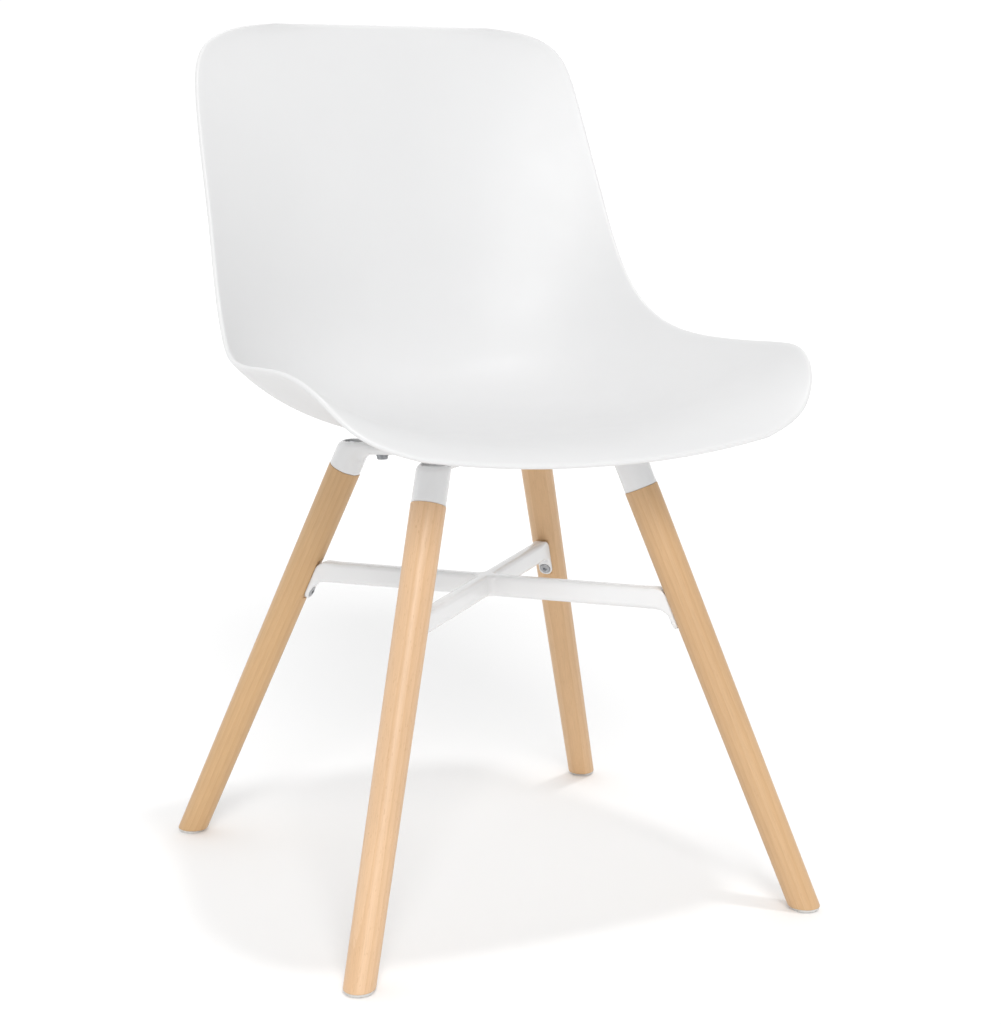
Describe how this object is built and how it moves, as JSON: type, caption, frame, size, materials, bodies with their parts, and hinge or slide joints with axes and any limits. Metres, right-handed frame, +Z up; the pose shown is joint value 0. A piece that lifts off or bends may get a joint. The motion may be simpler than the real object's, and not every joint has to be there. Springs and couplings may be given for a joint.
{
  "type": "dining chair",
  "caption": "Dining chair with a white moulded bucket shell, turned beech legs in steel sockets, and a white cross stretcher.",
  "frame": {"origin": "middle of the whole chair on the floor", "axes": "+Z up, -Y the way the sitter faces, +X to the sitter's left"},
  "size_m": [0.5334, 0.5105, 0.8319],
  "materials": {
    "shell_plastic": "satin moulded white, very fine texture",
    "beech": "clear satin lacquer on light beech",
    "white_paint": "semi-gloss white powder coat",
    "zinc_steel": "bright zinc plated",
    "brass": "machined",
    "glide_plastic": "translucent white polyethylene"
  },
  "bodies": {
    "root": {"frame_tube_back": "white_paint", "frame_tube_front": "white_paint", "frame_tube_through": "white_paint", "glide_back_left": "glide_plastic", "glide_back_right": "glide_plastic", "glide_front_left": "glide_plastic", "glide_front_right": "glide_plastic", "glide_nails": "zinc_steel", "leg_back_left": "beech", "leg_back_right": "beech", "leg_bolt_washers": "zinc_steel", "leg_bolts": "zinc_steel", "leg_front_left": "beech", "leg_front_right": "beech", "leg_inserts": "brass", "leg_socket_back_left": "white_paint", "leg_socket_back_right": "white_paint", "leg_socket_front_left": "white_paint", "leg_socket_front_right": "white_paint", "seat_shell": "shell_plastic", "shell_bolt_washers": "zinc_steel", "shell_bolts": "zinc_steel", "shell_inserts": "brass", "socket_plates": "white_paint", "stretcher_bar_back": "white_paint", "stretcher_bar_front": "white_paint", "stretcher_bar_through": "white_paint", "stretcher_inserts": "brass", "stretcher_screws": "zinc_steel", "stretcher_tab_back_left": "white_paint", "stretcher_tab_back_right": "white_paint", "stretcher_tab_front_left": "white_paint", "stretcher_tab_front_right": "white_paint"}
  },
  "joints": []
}
